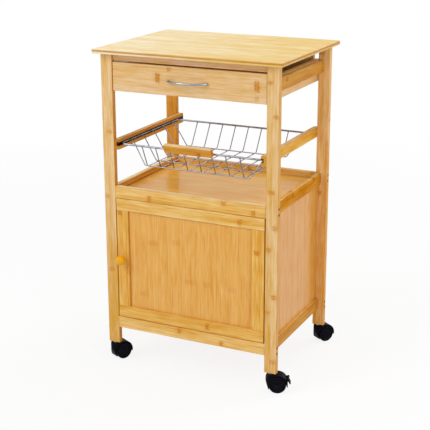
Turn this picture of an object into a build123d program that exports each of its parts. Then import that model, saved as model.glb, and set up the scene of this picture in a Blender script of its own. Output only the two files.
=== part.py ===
from build123d import *
import math
import os

os.makedirs("parts", exist_ok=True)

# Worktop
overall_height = 760.0
top_width = 464.0
top_depth = 358.0
top_thickness = 10.0
top_corner = 4.0
top_edge = 2.5

# Legs and rails
frame_width = 438.0
frame_depth = 322.0
leg_width = 29.0
leg_depth = 13.0
rail_height = 28.0
rail_thickness = 13.0
arris = 1.2
overcut = 1.0

# Heights of the rails
base_level = 87.0
tray_drop = 337.5
drawer_rail_drop = 62.0
top_rail_height = 17.0
top_rail_recess = 5.0

# Panels held in grooves
panel_thickness = 5.0
panel_tongue = 4.0
groove_slack = 0.15
tray_panel_drop = 14.5
base_panel_drop = 10.0
side_panel_inset = 1.5
back_panel_inset = 5.0

# Bolts through the legs into the ends of the front and back rails
bolt_radius = 1.75
bolt_head_radius = 3.5
bolt_head_height = 3.0
bolt_sink = 0.6
bolt_grip = 25.0
bolt_spacing = 14.0
tray_bolt_rise = 9.5
base_bolt_rise = 7.0
bolt_gap = 0.1

# Drawer
drawer_front_gap = 0.6
drawer_side_gap = 2.0
drawer_top_gap = 2.0
drawer_height = 65.8
drawer_recess = 2.0
drawer_front_thickness = 13.0
drawer_side_thickness = 11.0
drawer_side_drop = 14.0
drawer_back_gap = 3.0
drawer_bottom_thickness = 4.0
drawer_bottom_rise = 6.0
drawer_tongue = 4.0
cleat_rise = 10.0
cleat_depth = 7.0
cleat_height = 10.0
cleat_setback = 3.0
slide_slack = 0.5
slide_gap = 0.1

# Bow handle of the drawer and its screws
handle_pitch = 96.0
handle_projection = 23.0
handle_post = 4.5
handle_post_radius = 3.0
handle_bar_radius = 2.4
handle_screw_radius = 2.0
handle_screw_head = 4.0
handle_screw_head_height = 2.4
handle_screw_grip = 3.5
thread_gap = 0.02
screw_hole_gap = 0.3

# Basket and its runners
runner_width = 13.0
runner_height = 24.0
runner_drop = 221.4
runner_setback = 1.0
runner_stop = 20.0
rim_radius = 2.25
rim_overlap = 3.0
rim_run_gap = 0.3
rim_front_setback = 11.0
rim_depth = 284.0
rim_corner = 12.0
wire_radius = 1.25
wire_bend = 7.0
weld_gap = 0.05
basket_drop = 53.6
long_wires = 8
long_wire_pitch = 35.0
basket_front_lean = 25.0
basket_back_lean = 34.0
cross_wires = 5
cross_wire_first = 41.0
cross_wire_last = 38.0
cross_wire_lead = 9.0
cross_left_run = 42.0
cross_right_run = 30.0
cross_foot_lead = 4.0
cross_foot_setback = 18.0
tab_width = 12.0
tab_height = 13.0
tab_rise = 3.5
tab_pitch = 78.0
grip_width = 120.0
grip_height = 20.5
grip_thickness = 10.0
grip_seat = 1.5
grip_rise = 7.25
grip_edge = 2.2
grip_corner = 2.5

# Door
door_left_gap = 1.2
door_right_gap = 2.8
door_edge_gap = 1.0
door_recess = 1.0
door_thickness = 13.0
stile_width = 30.0
door_rail_height = 28.5
door_panel_recess = 5.0
pivot_setback = 9.0
pin_radius = 2.0
pin_grip = 4.8
pin_run = 9.0
pin_collar = 4.0
press_gap = 0.02
run_gap = 0.05

# Knob
knob_radius = 11.2
knob_reach = 14.5
knob_neck = 5.2
knob_flare = 6.0
knob_dowel_radius = 3.0
knob_dowel_length = 8.0
knob_setback = 14.5

# Magnet catch
catch_width = 40.0
catch_depth = 16.0
catch_height = 21.0
catch_setback = 18.8
catch_gap = 0.3
plate_thickness = 1.2
plate_width = 30.0
plate_height = 11.0

# Casters
wheel_radius = 20.0
hood_clear = 1.6
hood_wall = 2.4
collar_height = 2.0
collar_radius = 6.4
caster_trail = 15.0
web_half = 5.0
wheel_gap = 0.4
wheel_width = 10.8
wheel_edge = 1.0
tyre_edge = 1.2
tyre_inset = 0.8
tyre_band = 3.4
ring_depth = 1.0
ring_end = 5.4
disc_start = 7.0
disc_inset = 0.5
hood_half = 14.5
hood_edge = 1.2
nose_wall = 4.0
nose_blunt = 0.8
nose_level = 29.0
brow_level = 9.0
stem_radius = 3.4
stem_grip = 30.0
stem_run = 20.0
axle_radius = 2.5
axle_half = 13.0
headings = {"front_left": 62.0, "front_right": 22.0, "back_left": 158.0, "back_right": 55.0}
braked = ("front_right", "back_left")

# Brake pedals
brake_angle = 25.0
brake_stand_off = 3.2
brake_hub = 2.5
brake_pin = 1.3
brake_half = 9.0
brake_lug = 2.5
brake_lug_gap = 0.3
brake_lug_wall = 0.5
pedal_slope = 65.0
pedal_length = 11.5
pedal_thickness = 2.6

# Positions that follow from the sizes
top_level = overall_height - top_thickness
drawer_rail_level = top_level - drawer_rail_drop
tray_level = top_level - tray_drop
runner_level = top_level - runner_drop
half_width = frame_width / 2
half_depth = frame_depth / 2
leg_inner = half_width - leg_width
leg_near = half_depth - leg_depth
leg_x = half_width - leg_width / 2
leg_y = half_depth - leg_depth / 2
rail_inner = half_depth - rail_thickness
hood_radius = wheel_radius + hood_clear + hood_wall
hood_top = wheel_radius + hood_radius
caster_height = hood_top + collar_height
tray_top = tray_level + rail_height
base_top = base_level + rail_height

across = (-leg_inner, leg_inner)
along_side = (-leg_near, leg_near)
front_band = (-half_depth, -rail_inner)
back_band = (rail_inner, half_depth)
left_band = (-leg_inner - rail_thickness, -leg_inner)
right_band = (leg_inner, leg_inner + rail_thickness)
tray_band = (tray_level, tray_top)
base_band = (base_level, base_top)
drawer_rail_band = (drawer_rail_level, drawer_rail_level + rail_height)


def block(x, y, z, mode=Mode.ADD):
    """Box between two limits on each axis, for the part that is open."""
    with Locations(((x[0] + x[1]) / 2, (y[0] + y[1]) / 2, (z[0] + z[1]) / 2)):
        Box(x[1] - x[0], y[1] - y[0], z[1] - z[0], mode=mode)


def widen(limits, gap):
    """Limits of a box grown by a gap on every side."""
    return [(low - gap, high + gap) for low, high in limits]


def save(piece, name):
    """Names a finished piece and writes its file."""
    piece.part.label = name
    export_step(piece.part, f"parts/{name}.step")


# Limits of the panels; the grooves are the same limits with some slack
tray_panel_band = (tray_top - tray_panel_drop - panel_thickness, tray_top - tray_panel_drop)
base_panel_band = (base_top - base_panel_drop - panel_thickness, base_top - base_panel_drop)
floor_x = (-leg_inner - panel_tongue, leg_inner + panel_tongue)
floor_y = (-rail_inner - panel_tongue, rail_inner + panel_tongue)
wall_y = (-leg_near - panel_tongue, leg_near + panel_tongue)
wall_z = (base_top - panel_tongue, tray_level + panel_tongue)
wall_x = leg_inner + side_panel_inset
back_y = rail_inner + back_panel_inset
floors = {
    "tray_panel": (floor_x, floor_y, tray_panel_band),
    "base_panel": (floor_x, floor_y, base_panel_band),
}
walls = {
    "left_side_panel": ((-wall_x - panel_thickness, -wall_x), wall_y, wall_z),
    "right_side_panel": ((wall_x, wall_x + panel_thickness), wall_y, wall_z),
    "back_panel": (floor_x, (back_y, back_y + panel_thickness), wall_z),
}

# Worktop: one board with eased edges and small plan corners
with BuildPart() as worktop:
    with BuildSketch(Plane.XY.offset(top_level)):
        RectangleRounded(top_width, top_depth, top_corner)
    extrude(amount=top_thickness)
    fillet(worktop.faces().sort_by(Axis.Z)[-1].edges(), radius=top_edge)
    fillet(worktop.faces().sort_by(Axis.Z)[0].edges(), radius=top_edge)
save(worktop, "worktop")

# Legs: grooved for the panels, bored for the bolts and for the caster stems
bolt_levels = [
    base_level + base_bolt_rise,
    base_level + base_bolt_rise + bolt_spacing,
    tray_level + tray_bolt_rise,
    tray_level + tray_bolt_rise + bolt_spacing,
]
for end, y_sign in (("front", -1), ("back", 1)):
    for side, x_sign in (("left", -1), ("right", 1)):
        with BuildPart() as leg:
            with BuildSketch(Plane.XY.offset(caster_height)):
                with Locations((x_sign * leg_x, y_sign * leg_y)):
                    RectangleRounded(leg_width, leg_depth, arris)
            extrude(amount=top_level - caster_height)
            for wall in walls.values():
                block(*widen(wall, groove_slack), mode=Mode.SUBTRACT)
            for level in bolt_levels:
                outer = (x_sign * half_width, y_sign * leg_y, level)
                with Locations(Plane(origin=outer, z_dir=(x_sign, 0, 0))):
                    CounterBoreHole(
                        radius=bolt_radius + bolt_gap,
                        counter_bore_radius=bolt_head_radius + bolt_gap,
                        counter_bore_depth=bolt_head_height + bolt_sink,
                        depth=leg_width + overcut,
                    )
            with BuildSketch(Plane.XY.offset(caster_height)):
                with Locations((x_sign * leg_x, y_sign * leg_y)):
                    Circle(stem_radius + press_gap)
            extrude(amount=stem_grip, mode=Mode.SUBTRACT)
        save(leg, f"{end}_{side}_leg")

# Rails of the tray and of the cabinet's base
pivot_x = leg_inner - door_right_gap - pivot_setback
door_front = -half_depth + door_recess
pivot_y = door_front + door_thickness / 2
rails = {
    "tray_front_rail": (across, front_band, tray_band, Axis.X),
    "tray_back_rail": (across, back_band, tray_band, Axis.X),
    "tray_left_rail": (left_band, along_side, tray_band, Axis.Y),
    "tray_right_rail": (right_band, along_side, tray_band, Axis.Y),
    "base_front_rail": (across, front_band, base_band, Axis.X),
    "base_back_rail": (across, back_band, base_band, Axis.X),
    "base_left_rail": (left_band, along_side, base_band, Axis.Y),
    "base_right_rail": (right_band, along_side, base_band, Axis.Y),
}
for name, (x, y, z, grain) in rails.items():
    with BuildPart() as rail:
        block(x, y, z)
        fillet(rail.edges().filter_by(grain), radius=arris)
        for panel in [*floors.values(), *walls.values()]:
            block(*widen(panel, groove_slack), mode=Mode.SUBTRACT)
        if grain == Axis.X:
            bolt_y = leg_y if y[0] > 0 else -leg_y
            for x_sign in (-1, 1):
                for level in bolt_levels:
                    if z[0] < level < z[1]:
                        rail_end = (x_sign * leg_inner, bolt_y, level)
                        with Locations(Plane(origin=rail_end, z_dir=(x_sign, 0, 0))):
                            Hole(radius=bolt_radius + bolt_gap, depth=bolt_grip + slide_slack)
        if name == "tray_front_rail":
            with BuildSketch(Plane.XY.offset(tray_level)):
                with Locations((pivot_x, pivot_y)):
                    Circle(pin_radius + press_gap)
            extrude(amount=pin_grip, mode=Mode.SUBTRACT)
        if name == "base_front_rail":
            with BuildSketch(Plane.XY.offset(base_top)):
                with Locations((pivot_x, pivot_y)):
                    Circle(pin_radius + press_gap)
            extrude(amount=-pin_grip, mode=Mode.SUBTRACT)
    save(rail, name)

# Plain rails under the worktop and beside the drawer
top_rail_near = half_depth - top_rail_recess - rail_thickness
top_rail_far = half_depth - top_rail_recess
top_rail_band = (top_level - top_rail_height, top_level)
plain_rails = {
    "front_top_rail": (across, (-top_rail_far, -top_rail_near), top_rail_band, Axis.X),
    "back_top_rail": (across, (top_rail_near, top_rail_far), top_rail_band, Axis.X),
    "left_drawer_rail": (left_band, along_side, drawer_rail_band, Axis.Y),
    "right_drawer_rail": (right_band, along_side, drawer_rail_band, Axis.Y),
}
for name, (x, y, z, grain) in plain_rails.items():
    with BuildPart() as plain_rail:
        block(x, y, z)
        fillet(plain_rail.edges().filter_by(grain), radius=arris)
    save(plain_rail, name)

# Tray and cabinet floor: tongues into the rails, corners notched round the legs
for name, (x, y, z) in floors.items():
    with BuildPart() as floor:
        block(x, (-leg_near + groove_slack, leg_near - groove_slack), z)
        block((-leg_inner + groove_slack, leg_inner - groove_slack), y, z)
    save(floor, name)

# Cabinet walls
for name, limits in walls.items():
    with BuildPart() as wall:
        block(*limits)
    save(wall, name)

# Bolts: round heads with a hexagon socket, sunk in the legs
bolt_planes = [
    Plane(origin=(x_sign * (half_width - bolt_sink), y_sign * leg_y, level), z_dir=(x_sign, 0, 0))
    for x_sign in (-1, 1)
    for y_sign in (-1, 1)
    for level in bolt_levels
]
with BuildPart() as frame_bolts:
    with BuildSketch(*bolt_planes):
        Circle(bolt_head_radius)
    extrude(amount=-bolt_head_height)
    with BuildSketch(*bolt_planes):
        Circle(bolt_radius)
    extrude(amount=-(leg_width + bolt_grip - bolt_sink))
    with BuildSketch(*bolt_planes):
        RegularPolygon(radius=bolt_head_radius / 2, side_count=6)
    extrude(amount=-bolt_head_height / 2, mode=Mode.SUBTRACT)
save(frame_bolts, "frame_bolts")

# Drawer
drawer_board_x = leg_inner - drawer_front_gap
drawer_x = leg_inner - drawer_side_gap
drawer_top = top_level - top_rail_height - drawer_top_gap
drawer_level = drawer_top - drawer_height
drawer_front = -half_depth + drawer_recess
drawer_inside = drawer_front + drawer_front_thickness
drawer_end = half_depth - drawer_back_gap
drawer_side_top = drawer_top - drawer_side_drop
drawer_wall = drawer_x - drawer_side_thickness
drawer_back_face = drawer_end - drawer_side_thickness
handle_level = drawer_level + drawer_height / 2
bottom_limits = (
    (-drawer_wall - drawer_tongue, drawer_wall + drawer_tongue),
    (drawer_inside - drawer_tongue, drawer_back_face + drawer_tongue),
    (drawer_level + drawer_bottom_rise, drawer_level + drawer_bottom_rise + drawer_bottom_thickness),
)
cleat_level = drawer_rail_level + cleat_rise
cleat_band = (cleat_level - cleat_height / 2, cleat_level + cleat_height / 2)
cleat_face = leg_inner - cleat_depth

with BuildPart() as drawer_bottom:
    block(*bottom_limits)
save(drawer_bottom, "drawer_bottom")

with BuildPart() as drawer_board:
    block((-drawer_board_x, drawer_board_x), (drawer_front, drawer_inside), (drawer_level, drawer_top))
    fillet(drawer_board.faces().sort_by(Axis.Y)[0].edges(), radius=arris)
    block(*widen(bottom_limits, groove_slack), mode=Mode.SUBTRACT)
    for x_sign in (-1, 1):
        handle_spot = (x_sign * handle_pitch / 2, drawer_front, handle_level)
        with Locations(Plane(origin=handle_spot, z_dir=(0, -1, 0))):
            Hole(radius=handle_screw_radius + screw_hole_gap, depth=drawer_front_thickness + overcut)
save(drawer_board, "drawer_front")

for side, x_sign in (("left", -1), ("right", 1)):
    with BuildPart() as drawer_side:
        outer_x = sorted((x_sign * drawer_wall, x_sign * drawer_x))
        block(outer_x, (drawer_inside, drawer_end), (drawer_level, drawer_side_top))
        fillet(drawer_side.faces().sort_by(Axis.Z)[-1].edges().filter_by(Axis.Y), radius=arris)
        block(*widen(bottom_limits, groove_slack), mode=Mode.SUBTRACT)
        groove_x = sorted((x_sign * (cleat_face - slide_slack), x_sign * (drawer_x + overcut)))
        groove_y = (drawer_inside - overcut, drawer_end + overcut)
        groove_z = (cleat_band[0] - slide_slack, cleat_band[1] + slide_gap)
        block(groove_x, groove_y, groove_z, mode=Mode.SUBTRACT)
    save(drawer_side, f"drawer_{side}_side")

with BuildPart() as drawer_back:
    block((-drawer_wall, drawer_wall), (drawer_back_face, drawer_end), (drawer_level, drawer_top))
    fillet(drawer_back.faces().sort_by(Axis.Z)[-1].edges().filter_by(Axis.X), radius=arris)
    block(*widen(bottom_limits, groove_slack), mode=Mode.SUBTRACT)
save(drawer_back, "drawer_back")

with BuildPart() as drawer_cleats:
    for x_sign in (-1, 1):
        block(
            sorted((x_sign * cleat_face, x_sign * leg_inner)),
            (-leg_near + cleat_setback, leg_near),
            cleat_band,
        )
save(drawer_cleats, "drawer_cleats")

# Bow handle: two posts and a bar bent to an arc
bow_start = drawer_front - handle_post + handle_bar_radius
bow_middle = drawer_front - handle_projection + handle_bar_radius
with BuildPart() as drawer_handle:
    with BuildSketch(Plane.XZ.offset(-drawer_front)):
        with Locations((-handle_pitch / 2, handle_level), (handle_pitch / 2, handle_level)):
            Circle(handle_post_radius)
    extrude(amount=handle_post)
    fillet(drawer_handle.faces().group_by(Axis.Y)[0].edges(), radius=handle_bar_radius / 2)
    with BuildLine() as bow:
        ThreePointArc(
            (-handle_pitch / 2, bow_start, handle_level),
            (0, bow_middle, handle_level),
            (handle_pitch / 2, bow_start, handle_level),
        )
    with BuildSketch(Plane(origin=bow.wires()[0] @ 0, z_dir=bow.wires()[0] % 0)):
        Circle(handle_bar_radius)
    sweep(path=bow.wires()[0])
    with BuildSketch(Plane.XZ.offset(-drawer_front)):
        with Locations((-handle_pitch / 2, handle_level), (handle_pitch / 2, handle_level)):
            Circle(handle_screw_radius + thread_gap)
    extrude(amount=handle_screw_grip, mode=Mode.SUBTRACT)
    split(bisect_by=Plane.XZ.offset(-drawer_front), keep=Keep.TOP)
save(drawer_handle, "drawer_handle")

with BuildPart() as drawer_handle_screws:
    with BuildSketch(Plane.XZ.offset(-drawer_inside)):
        with Locations((-handle_pitch / 2, handle_level), (handle_pitch / 2, handle_level)):
            Circle(handle_screw_head)
    extrude(amount=-handle_screw_head_height)
    with BuildSketch(Plane.XZ.offset(-drawer_inside)):
        with Locations((-handle_pitch / 2, handle_level), (handle_pitch / 2, handle_level)):
            Circle(handle_screw_radius)
    extrude(amount=drawer_front_thickness + handle_screw_grip - slide_slack)
save(drawer_handle_screws, "drawer_handle_screws")

# Basket runners: a groove for the rim, open at the front, stopped at the back
runner_face = leg_inner - runner_width
runner_reach = half_depth - runner_setback
rim_x = runner_face + rim_overlap
rim_level = runner_level + runner_height / 2
rim_slot = rim_radius + rim_run_gap
rim_front = -half_depth + rim_front_setback
rim_back = rim_front + rim_depth
for side, x_sign in (("left", -1), ("right", 1)):
    with BuildPart() as runner:
        runner_x = sorted((x_sign * runner_face, x_sign * leg_inner))
        block(runner_x, (-runner_reach, runner_reach), (runner_level, runner_level + runner_height))
        fillet(runner.edges().filter_by(Axis.Y), radius=arris)
        slot_x = sorted((x_sign * (runner_face - overcut), x_sign * (rim_x + rim_slot)))
        slot_y = (-runner_reach - overcut, runner_reach - runner_stop)
        block(slot_x, slot_y, (rim_level - rim_slot, rim_level + rim_slot), mode=Mode.SUBTRACT)
    save(runner, f"{side}_basket_runner")

# Basket rim: one bent rod with two tabs for the grip, which lean as the front wires do
front_run = math.hypot(basket_front_lean, basket_drop)
back_run = math.hypot(basket_back_lean, basket_drop)
grip_plane = Plane(
    origin=(0, rim_front, rim_level),
    x_dir=(1, 0, 0),
    z_dir=(0, -basket_drop / front_run, -basket_front_lean / front_run),
)
with BuildPart() as basket_rim:
    with BuildLine(Plane.XY.offset(rim_level)) as rim_path:
        FilletPolyline(
            (rim_x, rim_front),
            (rim_x, rim_back),
            (-rim_x, rim_back),
            (-rim_x, rim_front),
            radius=rim_corner,
            close=True,
        )
    with BuildSketch(Plane(origin=rim_path.wires()[0] @ 0, z_dir=rim_path.wires()[0] % 0)):
        Circle(rim_radius)
    sweep(path=rim_path.wires()[0])
    with BuildSketch(grip_plane):
        with Locations((-tab_pitch / 2, tab_rise), (tab_pitch / 2, tab_rise)):
            Rectangle(tab_width, tab_height)
    extrude(amount=grip_seat)
save(basket_rim, "basket_rim")

# Basket wires: long ones from front to back under the rim, cross ones resting on them
floor_level = rim_level - basket_drop
cross_level = floor_level + 2 * wire_radius + weld_gap
wire_start = rim_radius + weld_gap
floor_front = rim_front + basket_front_lean
floor_back = rim_back - basket_back_lean
with BuildPart() as basket_wires:
    for index in range(long_wires):
        wire_x = (index - (long_wires - 1) / 2) * long_wire_pitch
        front_slope = wire_start / front_run
        back_slope = wire_start / back_run
        with BuildLine(Plane.YZ.offset(wire_x)) as long_path:
            FilletPolyline(
                (rim_front + front_slope * basket_front_lean, rim_level - front_slope * basket_drop),
                (floor_front, floor_level),
                (floor_back, floor_level),
                (rim_back - back_slope * basket_back_lean, rim_level - back_slope * basket_drop),
                radius=wire_bend,
            )
        with BuildSketch(Plane(origin=long_path.wires()[0] @ 0, z_dir=long_path.wires()[0] % 0)):
            Circle(wire_radius)
        sweep(path=long_path.wires()[0])
    for index in range(cross_wires):
        share = index / (cross_wires - 1)
        top_first = rim_front + cross_wire_first
        top_last = rim_back - cross_wire_last
        wire_top = top_first + share * (top_last - top_first)
        foot_first = floor_front - cross_foot_lead
        foot_last = floor_back - cross_foot_setback
        wire_foot = foot_first + share * (foot_last - foot_first)
        depth = rim_level - cross_level
        tilt = Vector(0, wire_top - wire_foot, depth)
        lean = Plane(
            origin=(0, wire_top, rim_level),
            x_dir=(1, 0, 0),
            z_dir=Vector(1, 0, 0).cross(tilt),
        )
        lead_x = rim_x - wire_start
        bend_x = lead_x - cross_wire_lead
        left_foot = bend_x - cross_left_run
        right_foot = bend_x - cross_right_run
        with BuildLine(lean) as cross_path:
            FilletPolyline(
                (-lead_x, 0),
                (-bend_x, 0),
                (-left_foot, -tilt.length),
                (right_foot, -tilt.length),
                (bend_x, 0),
                (lead_x, 0),
                radius=wire_bend,
            )
        with BuildSketch(Plane(origin=cross_path.wires()[0] @ 0, z_dir=cross_path.wires()[0] % 0)):
            Circle(wire_radius)
        sweep(path=cross_path.wires()[0])
save(basket_wires, "basket_wires")

# Basket grip: a leaning bar with a shallow channel that takes the front of the rim
with BuildPart() as basket_handle:
    with BuildSketch(grip_plane.offset(grip_seat)):
        with Locations((0, grip_rise)):
            RectangleRounded(grip_width, grip_height, grip_corner)
    extrude(amount=grip_thickness)
    grip_normal = Axis((0, 0, 0), grip_plane.z_dir)
    fillet(basket_handle.faces().sort_by(grip_normal)[-1].edges(), radius=grip_edge)
    with BuildSketch(Plane.YZ.offset(-grip_width / 2 - overcut)):
        with Locations((rim_front, rim_level)):
            Circle(rim_radius + weld_gap)
    extrude(amount=grip_width + 2 * overcut, mode=Mode.SUBTRACT)
save(basket_handle, "basket_handle")

# Door: two rails that run through, two stiles between them and a panel in their grooves
door_left = -leg_inner + door_left_gap
door_right = leg_inner - door_right_gap
door_back = door_front + door_thickness
door_low = base_top + door_edge_gap
door_high = tray_level - door_edge_gap
door_y = (door_front, door_back)
door_panel_y = (door_front + door_panel_recess, door_front + door_panel_recess + panel_thickness)
opening_x = (door_left + stile_width, door_right - stile_width)
opening_z = (door_low + door_rail_height, door_high - door_rail_height)
door_panel_limits = (
    (opening_x[0] - panel_tongue, opening_x[1] + panel_tongue),
    door_panel_y,
    (opening_z[0] - panel_tongue, opening_z[1] + panel_tongue),
)
knob_x = door_left + knob_setback
knob_level = (door_low + door_high) / 2

with BuildPart() as door_panel:
    block(*door_panel_limits)
save(door_panel, "door_panel")

with BuildPart() as door_left_stile:
    block((door_left, opening_x[0]), door_y, opening_z)
    fillet(door_left_stile.edges().filter_by(Axis.Z), radius=arris)
    block(*widen(door_panel_limits, groove_slack), mode=Mode.SUBTRACT)
    with Locations(Plane(origin=(knob_x, door_front, knob_level), z_dir=(0, -1, 0))):
        Hole(radius=knob_dowel_radius + press_gap, depth=knob_dowel_length)
save(door_left_stile, "door_left_stile")

with BuildPart() as door_right_stile:
    block((opening_x[1], door_right), door_y, opening_z)
    fillet(door_right_stile.edges().filter_by(Axis.Z), radius=arris)
    block(*widen(door_panel_limits, groove_slack), mode=Mode.SUBTRACT)
save(door_right_stile, "door_right_stile")

door_rails = {
    "door_top_rail": ((opening_z[1], door_high), door_high, -1),
    "door_bottom_rail": ((door_low, opening_z[0]), door_low, 1),
}
for name, (band, pin_level, sense) in door_rails.items():
    with BuildPart() as door_rail:
        block((door_left, door_right), door_y, band)
        fillet(door_rail.edges().filter_by(Axis.X), radius=arris)
        block(*widen(door_panel_limits, groove_slack), mode=Mode.SUBTRACT)
        with BuildSketch(Plane.XY.offset(pin_level)):
            with Locations((pivot_x, pivot_y)):
                Circle(pin_radius + run_gap)
        extrude(amount=sense * (pin_run + slide_slack), mode=Mode.SUBTRACT)
    save(door_rail, name)

# Pivot pins of the door; the lower one has a collar that carries the door
with BuildPart() as door_pivot_pins:
    with BuildSketch(Plane.XY.offset(base_top - pin_grip)):
        with Locations((pivot_x, pivot_y)):
            Circle(pin_radius)
    extrude(amount=pin_grip + door_edge_gap + pin_run)
    with BuildSketch(Plane.XY.offset(base_top)):
        with Locations((pivot_x, pivot_y)):
            Circle(pin_collar)
    extrude(amount=door_edge_gap)
    with BuildSketch(Plane.XY.offset(tray_level + pin_grip)):
        with Locations((pivot_x, pivot_y)):
            Circle(pin_radius)
    extrude(amount=-(pin_grip + door_edge_gap + pin_run))
save(door_pivot_pins, "door_pivot_pins")

# Knob: a ball on a flared neck, with a dowel in the stile
neck_step = knob_reach - math.sqrt(knob_radius ** 2 - knob_neck ** 2)
with BuildPart() as door_knob:
    with BuildSketch(Plane(origin=(knob_x, door_front, knob_level), x_dir=(1, 0, 0), z_dir=(0, 0, 1))):
        with BuildLine():
            neck = Polyline(
                (0, knob_dowel_length - slide_slack),
                (knob_dowel_radius, knob_dowel_length - slide_slack),
                (knob_dowel_radius, 0),
                (knob_flare, 0),
                (knob_neck, -neck_step),
            )
            ball = ThreePointArc(neck @ 1, (knob_radius, -knob_reach), (0, -knob_reach - knob_radius))
            Line(ball @ 1, neck @ 0)
        make_face()
    revolve(axis=Axis((knob_x, door_front, knob_level), (0, 1, 0)))
save(door_knob, "door_knob")

# Magnet catch under the tray and its plate on the door
catch_left = -leg_inner + catch_setback
catch_front = door_back + plate_thickness + catch_gap
catch_top = tray_panel_band[0]
with BuildPart() as magnet_catch:
    block(
        (catch_left, catch_left + catch_width),
        (catch_front, catch_front + catch_depth),
        (catch_top - catch_height, catch_top),
    )
    fillet(magnet_catch.edges().filter_by(Axis.Y).group_by(Axis.Z)[0], radius=arris)
    with BuildSketch(Plane.XZ.offset(-catch_front)):
        with Locations((catch_left + catch_width / 2, catch_top - catch_height + plate_height / 2)):
            Rectangle(catch_width / 2, plate_height / 2)
    extrude(amount=-arris, mode=Mode.SUBTRACT)
save(magnet_catch, "magnet_catch")

plate_level = catch_top - catch_height + plate_height / 2
with BuildPart() as catch_plate:
    with BuildSketch(Plane.XZ.offset(-door_back)):
        with Locations((catch_left + catch_width / 2, plate_level)):
            RectangleRounded(plate_width, plate_height, plate_height / 4)
    extrude(amount=-plate_thickness)
save(catch_plate, "catch_plate")

# Caster stems: pressed in the legs, with a collar under each leg
with BuildPart() as caster_stems:
    stem_spots = [(x_sign * leg_x, y_sign * leg_y) for x_sign in (-1, 1) for y_sign in (-1, 1)]
    with BuildSketch(Plane.XY.offset(hood_top - stem_run + slide_slack)):
        with Locations(*stem_spots):
            Circle(stem_radius)
    extrude(amount=stem_run + collar_height + stem_grip - 2 * slide_slack)
    with BuildSketch(Plane.XY.offset(hood_top)):
        with Locations(*stem_spots):
            Circle(collar_radius)
    extrude(amount=collar_height)
save(caster_stems, "caster_stems")

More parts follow.
